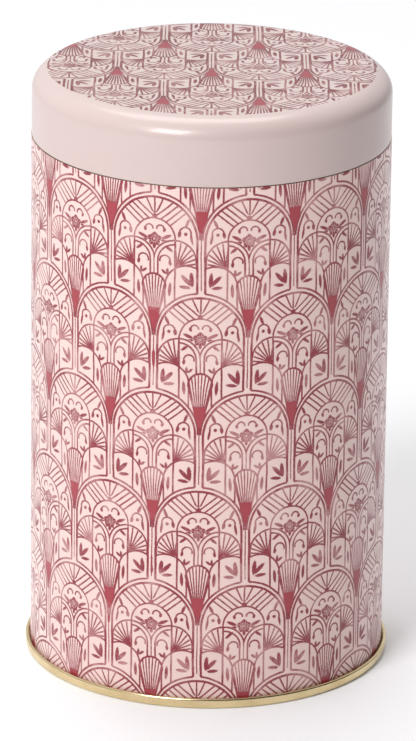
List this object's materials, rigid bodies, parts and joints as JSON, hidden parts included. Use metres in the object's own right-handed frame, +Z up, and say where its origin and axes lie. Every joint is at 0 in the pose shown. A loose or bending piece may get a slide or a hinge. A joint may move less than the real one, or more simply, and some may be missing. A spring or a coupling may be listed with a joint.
{
  "type": "slip-lid coffee tin",
  "caption": "Tall round tinplate storage tin with a flush slip lid, an inner plug lid with a knob, and a rolled seam round its base.",
  "frame": {"origin": "on the floor, at the centre of the base seam's circle", "axes": "+Z up along the tin's axis, -Y towards the front, +X to the front's right, lock seam at the back on +Y"},
  "size_m": [0.111, 0.111, 0.1836],
  "materials": {
    "printed_wall": "pale pink lacquer on tinplate, printed with worn rose-red fans and arches",
    "printed_lid": "pale pink lacquer on tinplate, plain on the skirt and printed on the crown",
    "gold_lacquer": "transparent gold lacquer on tinplate, glossy",
    "bright_tin": "bare tinplate, bright",
    "turned_aluminium": "turned, satin",
    "compound": "grey can-end sealing compound, matt"
  },
  "bodies": {
    "tin_body": {"body_wall": "printed_wall", "bottom_end": "gold_lacquer", "seam_compound": "compound", "neck_collar": "bright_tin"},
    "inner_lid": {"inner_lid_pan": "bright_tin", "inner_lid_knob": "turned_aluminium", "rivet_washer": "bright_tin", "knob_rivet": "turned_aluminium"},
    "outer_lid": {"lid_shell": "printed_lid"}
  },
  "joints": [
    {"name": "inner_lid_lift", "type": "slide", "parent": "tin_body", "child": "inner_lid", "axis": [0, 0, 1], "range_m": [0, 0.045]},
    {"name": "outer_lid_lift", "type": "slide", "parent": "inner_lid", "child": "outer_lid", "axis": [0, 0, 1], "range_m": [0, 0.06]}
  ]
}
